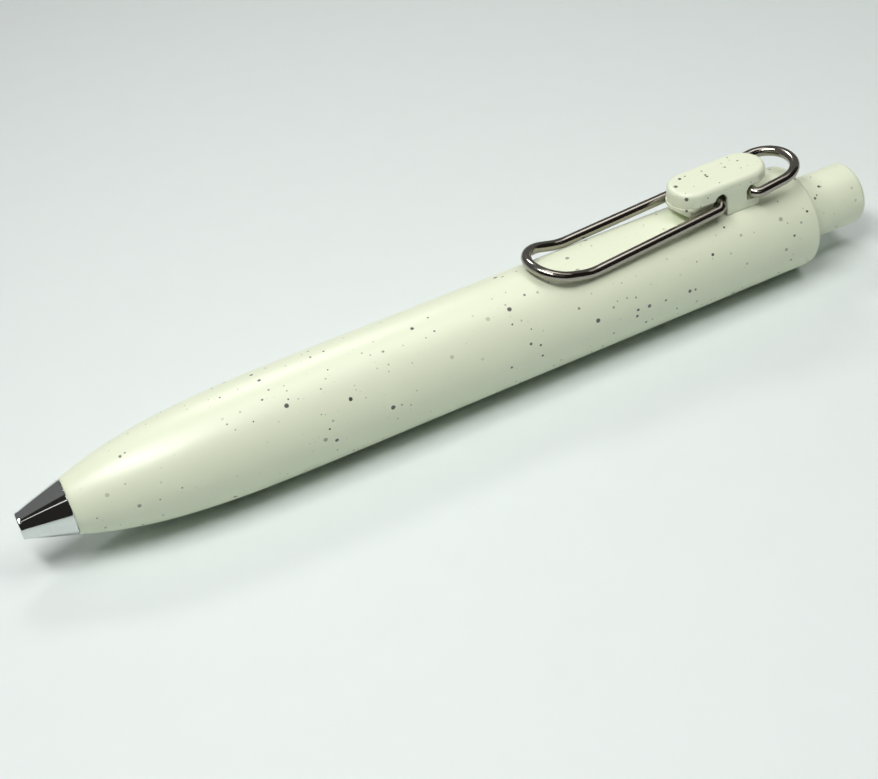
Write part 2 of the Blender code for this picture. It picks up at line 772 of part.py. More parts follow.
def clip_cap():
    outline = round_end(CAP_START + CAP_HALF_WIDTH, CAP_HALF_WIDTH, -1) + round_end(
        CAP_END - CAP_HALF_WIDTH, CAP_HALF_WIDTH, 1
    )
    made = outline_solid("clip_cap", outline, CAP_BOTTOM, CAP_TOP, CREAM)
    edge = made.modifiers.new("edge", "BEVEL")
    edge.width = CAP_EDGE * MM
    edge.segments = 2
    edge.limit_method = "ANGLE"
    edge.angle_limit = math.radians(60)
    inner, outer = CAP_HALF_WIDTH - LEG_THICKNESS, CAP_HALF_WIDTH - 0.01
    for side, name in ((-1, "near"), (1, "far")):
        low, high = sorted((side * inner, side * outer))
        leg = box(f"cap_leg_{name}", (LEG_START, low, HOLDER_FOOT), (LEG_END, high, LEG_TOP))
        boolean(made, leg, "UNION")
    recess = box(
        "cap_recess",
        (BASE_BLOCK_END + 0.02, -CAP_RECESS_HALF_WIDTH, HOLDER_FOOT - GAP),
        (CAP_RECESS_END, CAP_RECESS_HALF_WIDTH, CAP_ROOF),
    )
    arch = across("cap_arch", ARCH_STATION, ARCH_HEIGHT, ARCH_RADIUS)
    corner = across("cap_slot_corner", SLOT_START + SLOT_CORNER, SLOT_TOP - SLOT_CORNER, SLOT_CORNER)
    slot_front = box(
        "cap_slot_front",
        (SLOT_START, -CUT_REACH, SLOT_BOTTOM),
        (SLOT_START + SLOT_CORNER + 0.01, CUT_REACH, SLOT_TOP - SLOT_CORNER),
    )
    slot = box(
        "cap_slot",
        (SLOT_START + SLOT_CORNER, -CUT_REACH, SLOT_BOTTOM - 0.01),
        (CAP_END + 1.0, CUT_REACH, SLOT_TOP - 0.01),
    )
    for tool in (recess, arch, corner, slot_front, slot, seat_cutter("cap_seat")):
        boolean(made, tool, "DIFFERENCE")


def clip_wire():
    def mirrored(corners):
        return [((x, -y, z), bend) for (x, y, z), bend in reversed(corners)]

    low, high = LOOP_HEIGHTS
    front_height, rear_height = INNER_HEIGHTS
    rear = [
        ((REAR_CROSSING, INNER_SPREAD, rear_height), HOOK_BEND),
        ((REAR_CROSSING, LOOP_SPREAD, low), HOOK_BEND),
        ((LOOP_END, LOOP_SPREAD, high), LOOP_SPREAD - END_BEND_SLACK),
    ]
    front = [
        ((ARCH_STATION, -INNER_SPREAD, front_height), HOOK_BEND),
        ((ARCH_STATION, -ARM_SPREAD_AT_HOLDER, ARM_HEIGHT_AT_HOLDER), HOOK_BEND),
        ((TOUCH_STATION, -ARM_SPREAD, TOUCH_HEIGHT), TOUCH_BEND),
        ((FRONT_STATION, -ARM_SPREAD, FRONT_HEIGHT), ARM_SPREAD - END_BEND_SLACK),
    ]
    station, height = (ARCH_STATION + REAR_CROSSING) / 2, (front_height + rear_height) / 2
    start = ((station + END_BUTT, INNER_SPREAD, height), 0)
    end = ((station - END_BUTT, INNER_SPREAD, height), 0)
    corners = [start, *rear, *mirrored(rear), *front, *mirrored(front), end]
    wire("clip_wire", rounded_path(corners, 6), WIRE_RADIUS, WIRE_METAL, PIVOT)


# ---------------------------------------------------------------- assembly

clear_scene()
PARTS = collection(COLLECTION)
CUTTERS = collection("cutters")
FRAME = empty("pen_frame", None, (-LENGTH / 2, 0, AXIS_HEIGHT))
AXIS = empty("pen_axis", FRAME, (0, 0, 0), (0, math.pi / 2, 0))

CREAM = material("cream_plastic", (0.83, 0.85, 0.74), 0.42)
CHROME = material("chromed_metal", (0.72, 0.73, 0.74), 0.08, 1.0)
WIRE_METAL = material("dark_nickel", (0.30, 0.30, 0.29), 0.2, 1.0)
STEEL = material("spring_steel", (0.62, 0.62, 0.61), 0.28, 1.0)
GREY_PLASTIC = material("grey_acetal", (0.42, 0.43, 0.44), 0.5)
WHITE_PLASTIC = material("white_acetal", (0.82, 0.82, 0.80), 0.45)
CLEAR_PLASTIC = material("clear_plastic", (0.86, 0.88, 0.88), 0.15, 0.0, 0.4)
INK = material("gel_ink", (0.01, 0.01, 0.012), 0.25)
GREASE = material("follower_grease", (0.80, 0.76, 0.60), 0.3, 0.0, 0.6)

barrel()
nose_cone()
guide_sleeve()
rotor()
plunger()
knob()
refill()
return_spring()
clip_base()
clip_cap()
clip_wire()
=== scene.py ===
"""Looks for the retractable gel pen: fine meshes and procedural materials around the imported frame.

Lengths named in this file are millimetres. Stations run along the pen from the nose tip to the
knob's end, and heights are above the pen's axis; place() turns them into the frame's metres.
"""

import math

import bmesh
import bpy
import numpy as np
from mathutils import Matrix, Vector

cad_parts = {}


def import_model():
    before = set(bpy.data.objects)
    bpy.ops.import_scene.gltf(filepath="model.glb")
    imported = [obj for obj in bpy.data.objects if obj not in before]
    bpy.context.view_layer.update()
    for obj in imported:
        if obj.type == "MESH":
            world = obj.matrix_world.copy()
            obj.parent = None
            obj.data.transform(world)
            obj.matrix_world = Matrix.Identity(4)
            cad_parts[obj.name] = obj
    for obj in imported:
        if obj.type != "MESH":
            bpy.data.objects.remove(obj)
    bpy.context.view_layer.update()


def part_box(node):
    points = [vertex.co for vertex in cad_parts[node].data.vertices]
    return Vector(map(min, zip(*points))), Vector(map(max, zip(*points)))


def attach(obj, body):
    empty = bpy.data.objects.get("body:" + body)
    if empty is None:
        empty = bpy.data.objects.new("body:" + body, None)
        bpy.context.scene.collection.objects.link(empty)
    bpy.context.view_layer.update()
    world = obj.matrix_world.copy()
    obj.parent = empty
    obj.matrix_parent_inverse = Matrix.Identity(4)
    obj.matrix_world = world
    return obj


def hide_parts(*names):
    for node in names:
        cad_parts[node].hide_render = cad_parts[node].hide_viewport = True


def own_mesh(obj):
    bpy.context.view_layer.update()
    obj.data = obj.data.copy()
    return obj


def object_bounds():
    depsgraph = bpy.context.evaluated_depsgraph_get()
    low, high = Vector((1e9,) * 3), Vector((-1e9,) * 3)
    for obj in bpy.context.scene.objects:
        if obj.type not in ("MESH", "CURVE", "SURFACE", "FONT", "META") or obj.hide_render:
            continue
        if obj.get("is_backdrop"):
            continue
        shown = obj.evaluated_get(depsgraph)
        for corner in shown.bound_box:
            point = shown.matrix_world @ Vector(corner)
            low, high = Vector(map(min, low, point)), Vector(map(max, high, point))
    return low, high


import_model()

MM = 0.001
CAD_SIDES = 32  # flat sides round the CAD barrel and knob

# ---------------------------------------------------------------- sizes read from the frame


def span(node):
    """A node's first and last station."""
    low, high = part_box(node)
    return (low[0] - START_X) / MM, (high[0] - START_X) / MM


def radius_of(node):
    """Half of a round node's width across the pen."""
    low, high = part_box(node)
    return (high[1] - low[1]) / 2 / MM


def height_span(node):
    low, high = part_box(node)
    return (low[2] - AXIS_Z) / MM, (high[2] - AXIS_Z) / MM


START_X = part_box("nose_cone")[0][0]
AXIS_Z = (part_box("knob")[0][2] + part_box("knob")[1][2]) / 2
LENGTH = span("knob")[1]
BARREL_END = span("barrel")[1]
BARREL_RADIUS = radius_of("barrel") / math.cos(math.pi / CAD_SIDES)
SPIGOT_END = span("nose_cone")[1]
KNOB_START = span("knob")[0]
KNOB_RADIUS = radius_of("knob") / math.cos(math.pi / CAD_SIDES)
CAP_START, CAP_END = span("clip_cap")
CAP_HALF_WIDTH = radius_of("clip_cap")
CAP_TOP = height_span("clip_cap")[1]
SPINE_END = span("clip_base")[1]
SPINE_TOP = height_span("clip_base")[1]

# ---------------------------------------------------------------- detail sizes

ROUND = 128  # segments round a large turned piece
FINE = 64  # segments round a small one
PILL_STEPS = 20  # segments round each end of an oblong

GRIP_TAPER_END = 44.0
GRIP_TAPER_LENGTH = 38.0
GRIP_TAPER_DEPTH = 0.5
GRIP_TAPER_POWER = 3.8
BARREL_END_ROUND = 0.75
NOSE_SOCKET_RADIUS = 3.05
NOSE_SOCKET_END = 14.6
MAIN_BORE_RADIUS = 3.9
REAR_BORE_START = 85.7
REAR_BORE_RADIUS = 5.55
SEAM = 0.09  # visible gap where two outside pieces meet
KNOB_ROUND = 0.85
KNOB_HOLLOW_RADIUS = 3.65
KNOB_FLOOR = 115.6  # station where the hollow of the knob ends

NOSE_END = 6.0
NOSE_RIM_RADIUS = 1.55
NOSE_BASE_RADIUS = 3.46
NOSE_BULGE = 0.04
NOSE_HOLE_RADIUS = 1.25
NOSE_BORE_RADIUS = 2.1
NOSE_BORE_START = 5.2
SPIGOT_RADIUS = 2.72
THREAD_START = 7.4
THREAD_END = 13.0
THREAD_PITCH = 0.75
THREAD_DEPTH = 0.22

SPRING_RADIUS = 1.72
SPRING_WIRE_RADIUS = 0.17
SPRING_TURNS = 11
CAM_TEETH = 8
CAM_TOOTH = 0.8  # depth of the teeth on the rotor and the plunger
CAM_LUGS = 4
LUG_RADIUS = 4.8
LUG_HALF_DEG = 7.5
LUG_RISE = 0.001  # marks the profile rows that the lugs stand on
SLEEVE_BORE_RADIUS = 4.95
SLEEVE_LIP_START = 104.5
SLEEVE_LIP_RADIUS = 4.5
RIB_START, RIB_END = 93.0, 104.1
RIB_RADIUS = 4.45
RIB_HALF_DEG = 8
ROTOR_RADIUS = 3.6
ROTOR_TEETH_START = 99.2
ROTOR_STEM_RADIUS = 1.9
ROTOR_LUG_START, ROTOR_LUG_END = 95.0, 98.0
ROTOR_HOLLOW_END = 97.9
CAM_HOLLOW_RADIUS = 2.2
PLUNGER_RADIUS = 3.7
PLUNGER_HEAD_START = 104.2
PLUNGER_HEAD_RADIUS = 3.3
PLUNGER_LUG_START, PLUNGER_LUG_END = 100.9, 103.9
PLUNGER_HOLLOW_END = 104.4

TIP_RADIUS = 1.1
TIP_SHANK_RADIUS = 0.75
TIP_SHOULDER = 7.8
TIP_BORE_RADIUS = 0.3
TIP_RIM_RADIUS = 0.36
TIP_CONE_LENGTH = 2.1
HOLDER_RADIUS = 2.9
HOLDER_NECK_RADIUS = 1.35
HOLDER_SEAT_RADIUS = 1.05
INK_BORE_RADIUS = 0.5
VALVE_BORE_RADIUS = 1.15
TUBE_RADIUS = 3.05
TUBE_BORE_RADIUS = 2.3
TUBE_PLUG_RADIUS = 2.0
INK_RADIUS = 2.0
FOLLOWER_BORE_RADIUS = 1.2
FLOAT_RADIUS = 0.9
TAIL_FLANGE_END = 94.3
BALL_SPRING_RADIUS = 0.17
BALL_SPRING_WIRE_RADIUS = 0.05

WIRE_RADIUS = 0.68
FRONT_STATION = 68.2
FRONT_HEIGHT = 8.1
TOUCH_STATION = 74.3
TOUCH_HEIGHT = 6.45
TOUCH_BEND = 8.0
ARM_SPREAD = 4.02
ARM_SPREAD_AT_HOLDER = 3.52
ARM_HEIGHT_AT_HOLDER = 7.95
ARCH_STATION = 94.35
ARCH_RADIUS = 0.85
INNER_SPREAD = 1.75
INNER_HEIGHTS = (8.65, 8.7)
REAR_CROSSING = 99.1
LOOP_END = 106.95
LOOP_SPREAD = 3.82
LOOP_HEIGHTS = (8.35, 9.35)
HOOK_BEND = 0.85
END_BEND_SLACK = 0.1  # keeps the two bends of a loop from meeting
END_BUTT = 0.2

CAP_BOTTOM = 8.98
CAP_ROOF = 9.75
CAP_TOP_ROUND = 0.65
LEG_START, LEG_END = 95.3, 100.2
LEG_THICKNESS = 0.5
LEG_FOOT = 5.0
SLOT_START, SLOT_END = 98.3, 103.0
SLOT_CORNER = 0.75
SLOT_BOTTOM = 7.45
SLOT_TOP = 9.42
BASE_TOP = 8.94
BASE_LIP = 0.1
BASE_HALF_WIDTH = 2.85
BASE_WALL_HALF_WIDTH = 2.65
BASE_LIP_BOTTOM = 8.45
BASE_BLOCK_END = 93.4
BASE_FOOT = 6.0
RAMP_START, RAMP_END = (88.4, 8.6), (91.7, 6.85)  # station and height
RAMP_BOTTOM = 4.0
SPINE_HALF_WIDTH = 0.8
SEAT_RADIUS = BARREL_RADIUS + 0.04
CAP_DRAFT = 0.06
RECESS_HALF_WIDTH = 2.6
RECESS_END = 99.9
ARCH_TOP = CAP_ROOF - 0.05
CUT_REACH = 4.0  # how far a cutter stands out on each side of the holder
MOULD_VOXEL = 0.075

# ---------------------------------------------------------------- camera, floor and light

CAMERA_PLACE = (-0.058568, -0.139713, 0.122062)
CAMERA_TURN = (50.908, 6.894, -26.598)  # degrees
CAMERA_LENS = 62.13

bpy.context.scene.view_settings.view_transform = "Standard"


def camera():
    data = bpy.data.cameras.new("camera")
    data.lens = CAMERA_LENS
    data.clip_start, data.clip_end = 0.005, 20.0
    made = bpy.data.objects.new("camera", data)
    made.location = CAMERA_PLACE
    made.rotation_euler = [math.radians(a) for a in CAMERA_TURN]
    bpy.context.scene.collection.objects.link(made)
    bpy.context.scene.camera = made


def area_light(name, place, target, size, watts, colour, shown_in_gloss=True):
    data = bpy.data.lights.new(name, "AREA")
    data.shape = "RECTANGLE"
    data.size, data.size_y = size
    data.energy = watts
    data.color = colour
    made = bpy.data.objects.new(name, data)
    made.location = place
    made.rotation_euler = (Vector(target) - Vector(place)).to_track_quat("-Z", "Y").to_euler()
    made.visible_glossy = shown_in_gloss
    bpy.context.scene.collection.objects.link(made)


def lights():
    """A long key on the left, softer light from the right, behind and overhead, and two panels
    that are there for their reflections: one in the wire's arms, one a thin line in the nose."""
    white = (1.0, 0.985, 0.975)
    middle = (0, 0, 0)
    area_light("key", (-0.105, -0.042, 0.28), middle, (0.20, 0.06), 0.62, white)
    area_light("side", (0.135, -0.10, 0.28), middle, (0.09, 0.12), 0.235, white, shown_in_gloss=False)
    area_light("back", (0.04, 0.28, 0.28), middle, (0.10, 0.06), 0.25, white)
    area_light("top", (0.04, 0.02, 0.28), middle, (0.09, 0.18), 0.10, white)
    area_light("wire_panel", (0.14, -0.02, 0.28), middle, (0.12, 0.125), 0.045, white)
    area_light("nose_line", (-0.12, -0.13, 0.22), (-0.04, 0, 0.005), (0.4, 0.01), 0.02, white)


def world():
    """Dim studio: grey behind the pen, dark overhead and in front."""
    made = bpy.data.worlds.new("studio")
    bpy.context.scene.world = made
    made.use_nodes = True
    tree = made.node_tree
    back = tree.nodes["Background"]
    where = tree.nodes.new("ShaderNodeTexCoord")
    split = tree.nodes.new("ShaderNodeSeparateXYZ")
    ramp = tree.nodes.new("ShaderNodeValToRGB")
    tree.links.new(where.outputs["Generated"], split.inputs[0])
    tree.links.new(split.outputs["Y"], ramp.inputs[0])
    first, last = ramp.color_ramp.elements
    first.position, first.color = 0.0, (0.025, 0.022, 0.020, 1)
    last.position, last.color = 0.10, (0.18, 0.18, 0.178, 1)
    ramp.color_ramp.interpolation = "EASE"
    tree.links.new(ramp.outputs[0], back.inputs["Color"])


def floor():
    mesh = bpy.data.meshes.new("floor")
    half = 0.9
    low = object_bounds()[0][2] - 0.00005
    corners = [(-half, -half, low), (half, -half, low), (half, half, low), (-half, half, low)]
    mesh.from_pydata(corners, [], [(0, 1, 2, 3)])
    made = bpy.data.objects.new("floor", mesh)
    bpy.context.scene.collection.objects.link(made)
    paper = Material("pale_table", (0.695, 0.755, 0.74), 0.6)
    fleck = paper.noise(180, 3, 0.5)
    paper.colour(paper.mix(fleck, (0.685, 0.745, 0.73, 1), (0.705, 0.765, 0.75, 1)))
    mesh.materials.append(paper.made)
    made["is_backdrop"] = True


# ---------------------------------------------------------------- materials


class Material:
    """A Principled material whose colour, roughness and bump come from procedural nodes."""

    def __init__(self, name, colour, roughness, metallic=0.0, **inputs):
        self.made = bpy.data.materials.new(name)
        self.made.use_nodes = True
        self.tree = self.made.node_tree
        self.shader = self.tree.nodes["Principled BSDF"]
        self.shader.inputs["Base Color"].default_value = (*colour, 1)
        self.shader.inputs["Roughness"].default_value = roughness
        self.shader.inputs["Metallic"].default_value = metallic
        for key, value in inputs.items():
            self.shader.inputs[key.replace("_", " ")].default_value = value
        self.where = self.node("ShaderNodeTexCoord").outputs["Object"]

    def node(self, kind, **settings):
        made = self.tree.nodes.new(kind)
        for key, value in settings.items():
            setattr(made, key, value)
        return made

    def link(self, value, socket):
        if isinstance(value, bpy.types.NodeSocket):
            self.tree.links.new(value, socket)
        else:
            socket.default_value = value

    def math(self, operation, *values, clamp=False):
        made = self.node("ShaderNodeMath", operation=operation, use_clamp=clamp)
        for value, socket in zip(values, made.inputs):
            self.link(value, socket)
        return made.outputs[0]

    def stretched(self, factors):
        """The coordinates with each axis scaled, for streaks and rings."""
        made = self.node("ShaderNodeMapping")
        self.link(self.where, made.inputs["Vector"])
        made.inputs["Scale"].default_value = factors
        return made.outputs[0]

    def noise(self, scale, detail=2, roughness=0.5, where=None):
        made = self.node("ShaderNodeTexNoise")
        self.link(where or self.where, made.inputs["Vector"])
        made.inputs["Scale"].default_value = scale
        made.inputs["Detail"].default_value = detail
        made.inputs["Roughness"].default_value = roughness
        return made.outputs["Fac"]

    def band(self, value, low, high, to_low=0.0, to_high=1.0):
        made = self.node("ShaderNodeMapRange", interpolation_type="SMOOTHSTEP")
        for key, item in (
            ("Value", value),
            ("From Min", low),
            ("From Max", high),
            ("To Min", to_low),
            ("To Max", to_high),
        ):
            self.link(item, made.inputs[key])
        return made.outputs[0]

    def mix(self, share, first, second):
        made = self.node("ShaderNodeMix", data_type="RGBA")
        self.link(share, made.inputs["Factor"])
        self.link(first, made.inputs[6])
        self.link(second, made.inputs[7])
        return made.outputs[2]

    def colour(self, value):
        self.link(value, self.shader.inputs["Base Color"])

    def roughness(self, value):
        self.link(value, self.shader.inputs["Roughness"])

    def bump(self, height, strength, distance):
        made = self.node("ShaderNodeBump")
        made.inputs["Strength"].default_value = strength
        made.inputs["Distance"].default_value = distance
        self.link(height, made.inputs["Height"])
        self.link(made.outputs[0], self.shader.inputs["Normal"])

    def flecks(self, spacing, radius, spread, share, thickness=0.25):
        """A mask of round flecks. Each fleck sits in a cell of the given spacing, in metres, and
        has its own radius; only a share of the cells holds one."""
        warp = self.node("ShaderNodeTexNoise")
        self.link(self.where, warp.inputs["Vector"])
        warp.inputs["Scale"].default_value = 2.2 / spacing
        shift = self.node("ShaderNodeVectorMath", operation="MULTIPLY_ADD")
        self.link(warp.outputs["Color"], shift.inputs[0])
        shift.inputs[1].default_value = (0.10 * spacing,) * 3
        self.link(self.where, shift.inputs[2])
        cells = self.node("ShaderNodeTexVoronoi")
        self.link(shift.outputs[0], cells.inputs["Vector"])
        cells.inputs["Scale"].default_value = 1 / spacing
        parts = self.node("ShaderNodeSeparateColor")
        self.link(cells.outputs["Color"], parts.inputs[0])
        draw = self.math("POWER", parts.outputs[0], 2.0)
        size = self.math("MULTIPLY_ADD", draw, spread / spacing, radius / spacing)
        inner = self.math("MULTIPLY", size, 1 - thickness)
        mask = self.band(cells.outputs["Distance"], inner, size, 1.0, 0.0)
        chosen = self.math("LESS_THAN", parts.outputs[1], share)
        return self.math("MULTIPLY", mask, chosen), parts.outputs[2]


def cream_plastic():
    """Satin off-white plastic with scattered dark flecks and many fine faint ones."""
    made = Material("cream_plastic", (0.75, 0.805, 0.63), 0.36, Specular_IOR_Level=0.8)
    cloud = made.noise(120, 3, 0.55)
    colour = made.mix(cloud, (0.73, 0.79, 0.60, 1), (0.76, 0.815, 0.635, 1))
    gather = made.band(made.noise(95, 2, 0.6), 0.36, 0.60)
    dust, _ = made.flecks(0.0008, 0.00005, 0.00008, 0.6, 0.5)
    colour = made.mix(made.math("MULTIPLY", dust, 0.35), colour, (0.36, 0.37, 0.30, 1))
    small, tint = made.flecks(0.0011, 0.00009, 0.00014, 0.62, 0.35)
    small = made.math("MULTIPLY", made.math("MULTIPLY", small, gather), 0.8)
    colour = made.mix(small, colour, made.mix(tint, (0.09, 0.095, 0.095, 1), (0.26, 0.225, 0.20, 1)))
    large, tint = made.flecks(0.0015, 0.00012, 0.00022, 0.6, 0.25)
    large = made.math("MULTIPLY", large, made.band(gather, 0.0, 0.5, 0.35, 1.0))
    large = made.math("MULTIPLY", large, 0.95)
    colour = made.mix(large, colour, made.mix(tint, (0.014, 0.016, 0.018, 1), (0.09, 0.082, 0.075, 1)))
    made.colour(colour)
    grain = made.noise(5200, 2, 0.6)
    made.roughness(made.band(grain, 0.25, 0.75, 0.33, 0.42))
    made.bump(grain, 0.10, 0.00002)
    return made.made


def chrome():
    made = Material("chromed_metal", (0.66, 0.69, 0.68), 0.05, 1.0)
    rings = made.noise(2600, 2, 0.6, made.stretched((1.0, 0.04, 0.04)))
    made.colour(made.mix(rings, (0.62, 0.65, 0.64, 1), (0.70, 0.73, 0.72, 1)))
    made.roughness(made.band(rings, 0.3, 0.7, 0.035, 0.075))
    made.bump(rings, 0.05, 0.000004)
    return made.made


def dark_nickel():
    made = Material("dark_nickel", (0.30, 0.29, 0.27), 0.16, 1.0)
    streak = made.noise(1700, 3, 0.6, made.stretched((0.08, 1.0, 1.0)))
    made.colour(made.mix(streak, (0.31, 0.29, 0.25, 1), (0.41, 0.385, 0.34, 1)))
    made.roughness(made.band(streak, 0.3, 0.7, 0.10, 0.20))
    made.bump(streak, 0.08, 0.00001)
    return made.made


def steel():
    made = Material("spring_steel", (0.62, 0.62, 0.60), 0.25, 1.0)
    drawn = made.noise(3000, 3, 0.6)
    made.colour(made.mix(drawn, (0.55, 0.55, 0.53, 1), (0.68, 0.68, 0.66, 1)))
    made.roughness(made.band(drawn, 0.3, 0.7, 0.18, 0.32))
    made.bump(drawn, 0.06, 0.00001)
    return made.made


def acetal(name, dark, light):
    made = Material(name, light, 0.42)
    cloud = made.noise(700, 3, 0.6)
    made.colour(made.mix(cloud, (*dark, 1), (*light, 1)))
    made.roughness(made.band(made.noise(4000, 2, 0.5), 0.3, 0.7, 0.36, 0.5))
    made.bump(made.noise(4000, 2, 0.5), 0.08, 0.00001)
    return made.made


def clear_plastic():
    made = Material("clear_plastic", (0.90, 0.93, 0.93), 0.12, Transmission_Weight=0.85, IOR=1.49)
    drawn = made.noise(900, 2, 0.5, made.stretched((0.05, 1.0, 1.0)))
    made.roughness(made.band(drawn, 0.3, 0.7, 0.08, 0.18))
    made.bump(drawn, 0.05, 0.00001)
    return made.made


def fluid(name, dark, light, roughness):
    made = Material(name, light, roughness)
    swirl = made.noise(500, 3, 0.6)
    made.colour(made.mix(swirl, (*dark, 1), (*light, 1)))
    made.bump(swirl, 0.1, 0.00002)
    return made.made


# ---------------------------------------------------------------- mesh helpers


def place(station, y, height):
    return Vector((START_X + station * MM, y * MM, AXIS_Z + height * MM))


def piece(name, mesh, finish, body, slot, *nodes, sharp=32):
    """A finished mesh as a piece that rides on its body and stands for its CAD nodes."""
    made = bpy.data.objects.new(name, mesh)
    bpy.context.scene.collection.objects.link(made)
    mesh.materials.clear()
    mesh.materials.append(finish)
    mesh.shade_smooth()
    mesh.set_sharp_from_angle(angle=math.radians(sharp))
    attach(made, body)
    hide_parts(*nodes)
    return made


def turned_mesh(name, profile, segments=FINE, shape=None):
    """A mesh turned about the pen's axis from (station, radius) points, which run from the rear
    forwards on the outside and, in a hollow piece, back on the inside. shape(station, radius,
    angle) may move a point, for threads, ribs, lugs and teeth."""
    hollow = profile[0][1] > 0 and profile[-1][1] > 0
    points, rows = [], []
    for station, radius in profile:
        if radius == 0:
            rows.append([len(points)] * segments)
            points.append(place(station, 0, 0))
            continue
        row = []
        for k in range(segments):
            angle = 2 * math.pi * k / segments
            at, r = shape(station, radius, angle) if shape else (station, radius)
            row.append(len(points))
            points.append(place(at, r * math.cos(angle), r * math.sin(angle)))
        rows.append(row)
    faces = []
    pairs = list(zip(rows, rows[1:]))
    if hollow:
        pairs.append((rows[-1], rows[0]))
    for first, second in pairs:
        for k in range(segments):
            n = (k + 1) % segments
            ring = [first[k], first[n], second[n], second[k]]
            face = list(dict.fromkeys(ring))
            if len(face) > 2:
                faces.append(face)
    mesh = bpy.data.meshes.new(name)
    mesh.from_pydata(points, [], faces)
    shape_up = bmesh.new()
    shape_up.from_mesh(mesh)
    bmesh.ops.recalc_face_normals(shape_up, faces=shape_up.faces)
    shape_up.to_mesh(mesh)
    shape_up.free()
    return mesh


def bend_points(station, radius, bend, start_deg, end_deg, steps=8):
    """Profile points on a rounded corner; 0 degrees points outwards and 90 to the rear."""
    angles = [math.radians(start_deg + (end_deg - start_deg) * i / steps) for i in range(steps + 1)]
    return [(station + bend * math.sin(a), radius + bend * math.cos(a)) for a in angles]


def stations(start, end, count):
    return [start + (end - start) * i / count for i in range(count + 1)]


def chamfered(profile, size=0.12):
    """The profile with each corner that is off the axis cut back a little, as moulded edges are."""
    made = []
    count = len(profile)
    hollow = profile[0][1] > 0 and profile[-1][1] > 0
    for i, (station, radius) in enumerate(profile):
        if not hollow and i in (0, count - 1):
            made.append((station, radius))
            continue
        here = np.array((station, radius))
        for other in (profile[i - 1], profile[(i + 1) % count]):
            step = np.array(other) - here
            length = np.linalg.norm(step)
            made.append(tuple(here + step / length * min(size, length * 0.3)))
    return made


def rounded_path(corners, steps_per_bend):
    """Points along straight runs between (place, bend radius) corners, with an arc at each bend."""
    path = [Vector(corners[0][0])]
    for (before, _), (corner, bend), (after, _) in zip(corners, corners[1:], corners[2:]):
        corner = Vector(corner)
        into = (Vector(before) - corner).normalized()
        out = (Vector(after) - corner).normalized()
        half = into.angle(out) / 2
        centre = corner + (into + out).normalized() * (bend / math.sin(half))
        reach = bend / math.tan(half)
        first, last = corner + into * reach - centre, corner + out * reach - centre
        sweep = first.angle(last)
        for i in range(steps_per_bend + 1):
            share = i / steps_per_bend
            a = math.sin(sweep * (1 - share)) / math.sin(sweep)
            b = math.sin(sweep * share) / math.sin(sweep)
            path.append(centre + first * a + last * b)
    path.append(Vector(corners[-1][0]))
    return path


def wire_mesh(name, points, radius, sides=20):
    """A round wire through (station, y, height) points, with slightly rounded ends."""
    path = [place(*p) for p in points]
    ways = [
        (path[min(i + 1, len(path) - 1)] - path[max(i - 1, 0)]).normalized()
        for i in range(len(path))
    ]
    across = ways[0].orthogonal().normalized()
    rows, verts = [], []

    def ring(centre, way, across, r):
        other = way.cross(across)
        row = []
        for k in range(sides):
            angle = 2 * math.pi * k / sides
            row.append(len(verts))
            verts.append(centre + (across * math.cos(angle) + other * math.sin(angle)) * r)
        rows.append(row)

    r, edge = radius * MM, radius * MM * 0.25
    for i, (centre, way) in enumerate(zip(path, ways)):
        across = (across - way * across.dot(way)).normalized()
        if i == 0:
            ring(centre - way * edge, way, across, r - edge)
        ring(centre, way, across, r)
        if i == len(path) - 1:
            ring(centre + way * edge, way, across, r - edge)
    faces = [rows[0][::-1], rows[-1]]
    for first, second in zip(rows, rows[1:]):
        for k in range(sides):
            n = (k + 1) % sides
            faces.append([first[k], first[n], second[n], second[k]])
    mesh = bpy.data.meshes.new(name)
    mesh.from_pydata(verts, [], faces)
    return mesh


def coil_points(start, end, radius, turns, end_turns, closed_pitch, per_turn=28):
    """A compression spring along the pen, with closely wound turns at both ends."""
    total = turns + 2 * end_turns
    closed = closed_pitch * end_turns
    points = []
    for i in range(int(total * per_turn) + 1):
        turn = i / per_turn
        if turn < end_turns:
            at = start + closed_pitch * turn
        elif turn > total - end_turns:
            at = end - closed_pitch * (total - turn)
        else:
            at = start + closed + (end - start - 2 * closed) * (turn - end_turns) / turns
        angle = 2 * math.pi * turn
        points.append((at, radius * math.cos(angle), radius * math.sin(angle)))
    return points


# ---------------------------------------------------------------- turned pieces


def barrel_radius(station):
    share = max(0.0, (GRIP_TAPER_END - station) / GRIP_TAPER_LENGTH)
    return BARREL_RADIUS * (1 - GRIP_TAPER_DEPTH * share**GRIP_TAPER_POWER)


def thread_wave(station, angle, hand=1.0):
    """Height of a V thread at a point, 0 outside the threaded stretch."""
    if not THREAD_START < station < THREAD_END:
        return 0.0
    run_out = min(station - THREAD_START, THREAD_END - station) / 0.5
    phase = (station / THREAD_PITCH - hand * angle / (2 * math.pi)) % 1.0
    return THREAD_DEPTH * min(1.0, run_out) * (1 - abs(2 * phase - 1))


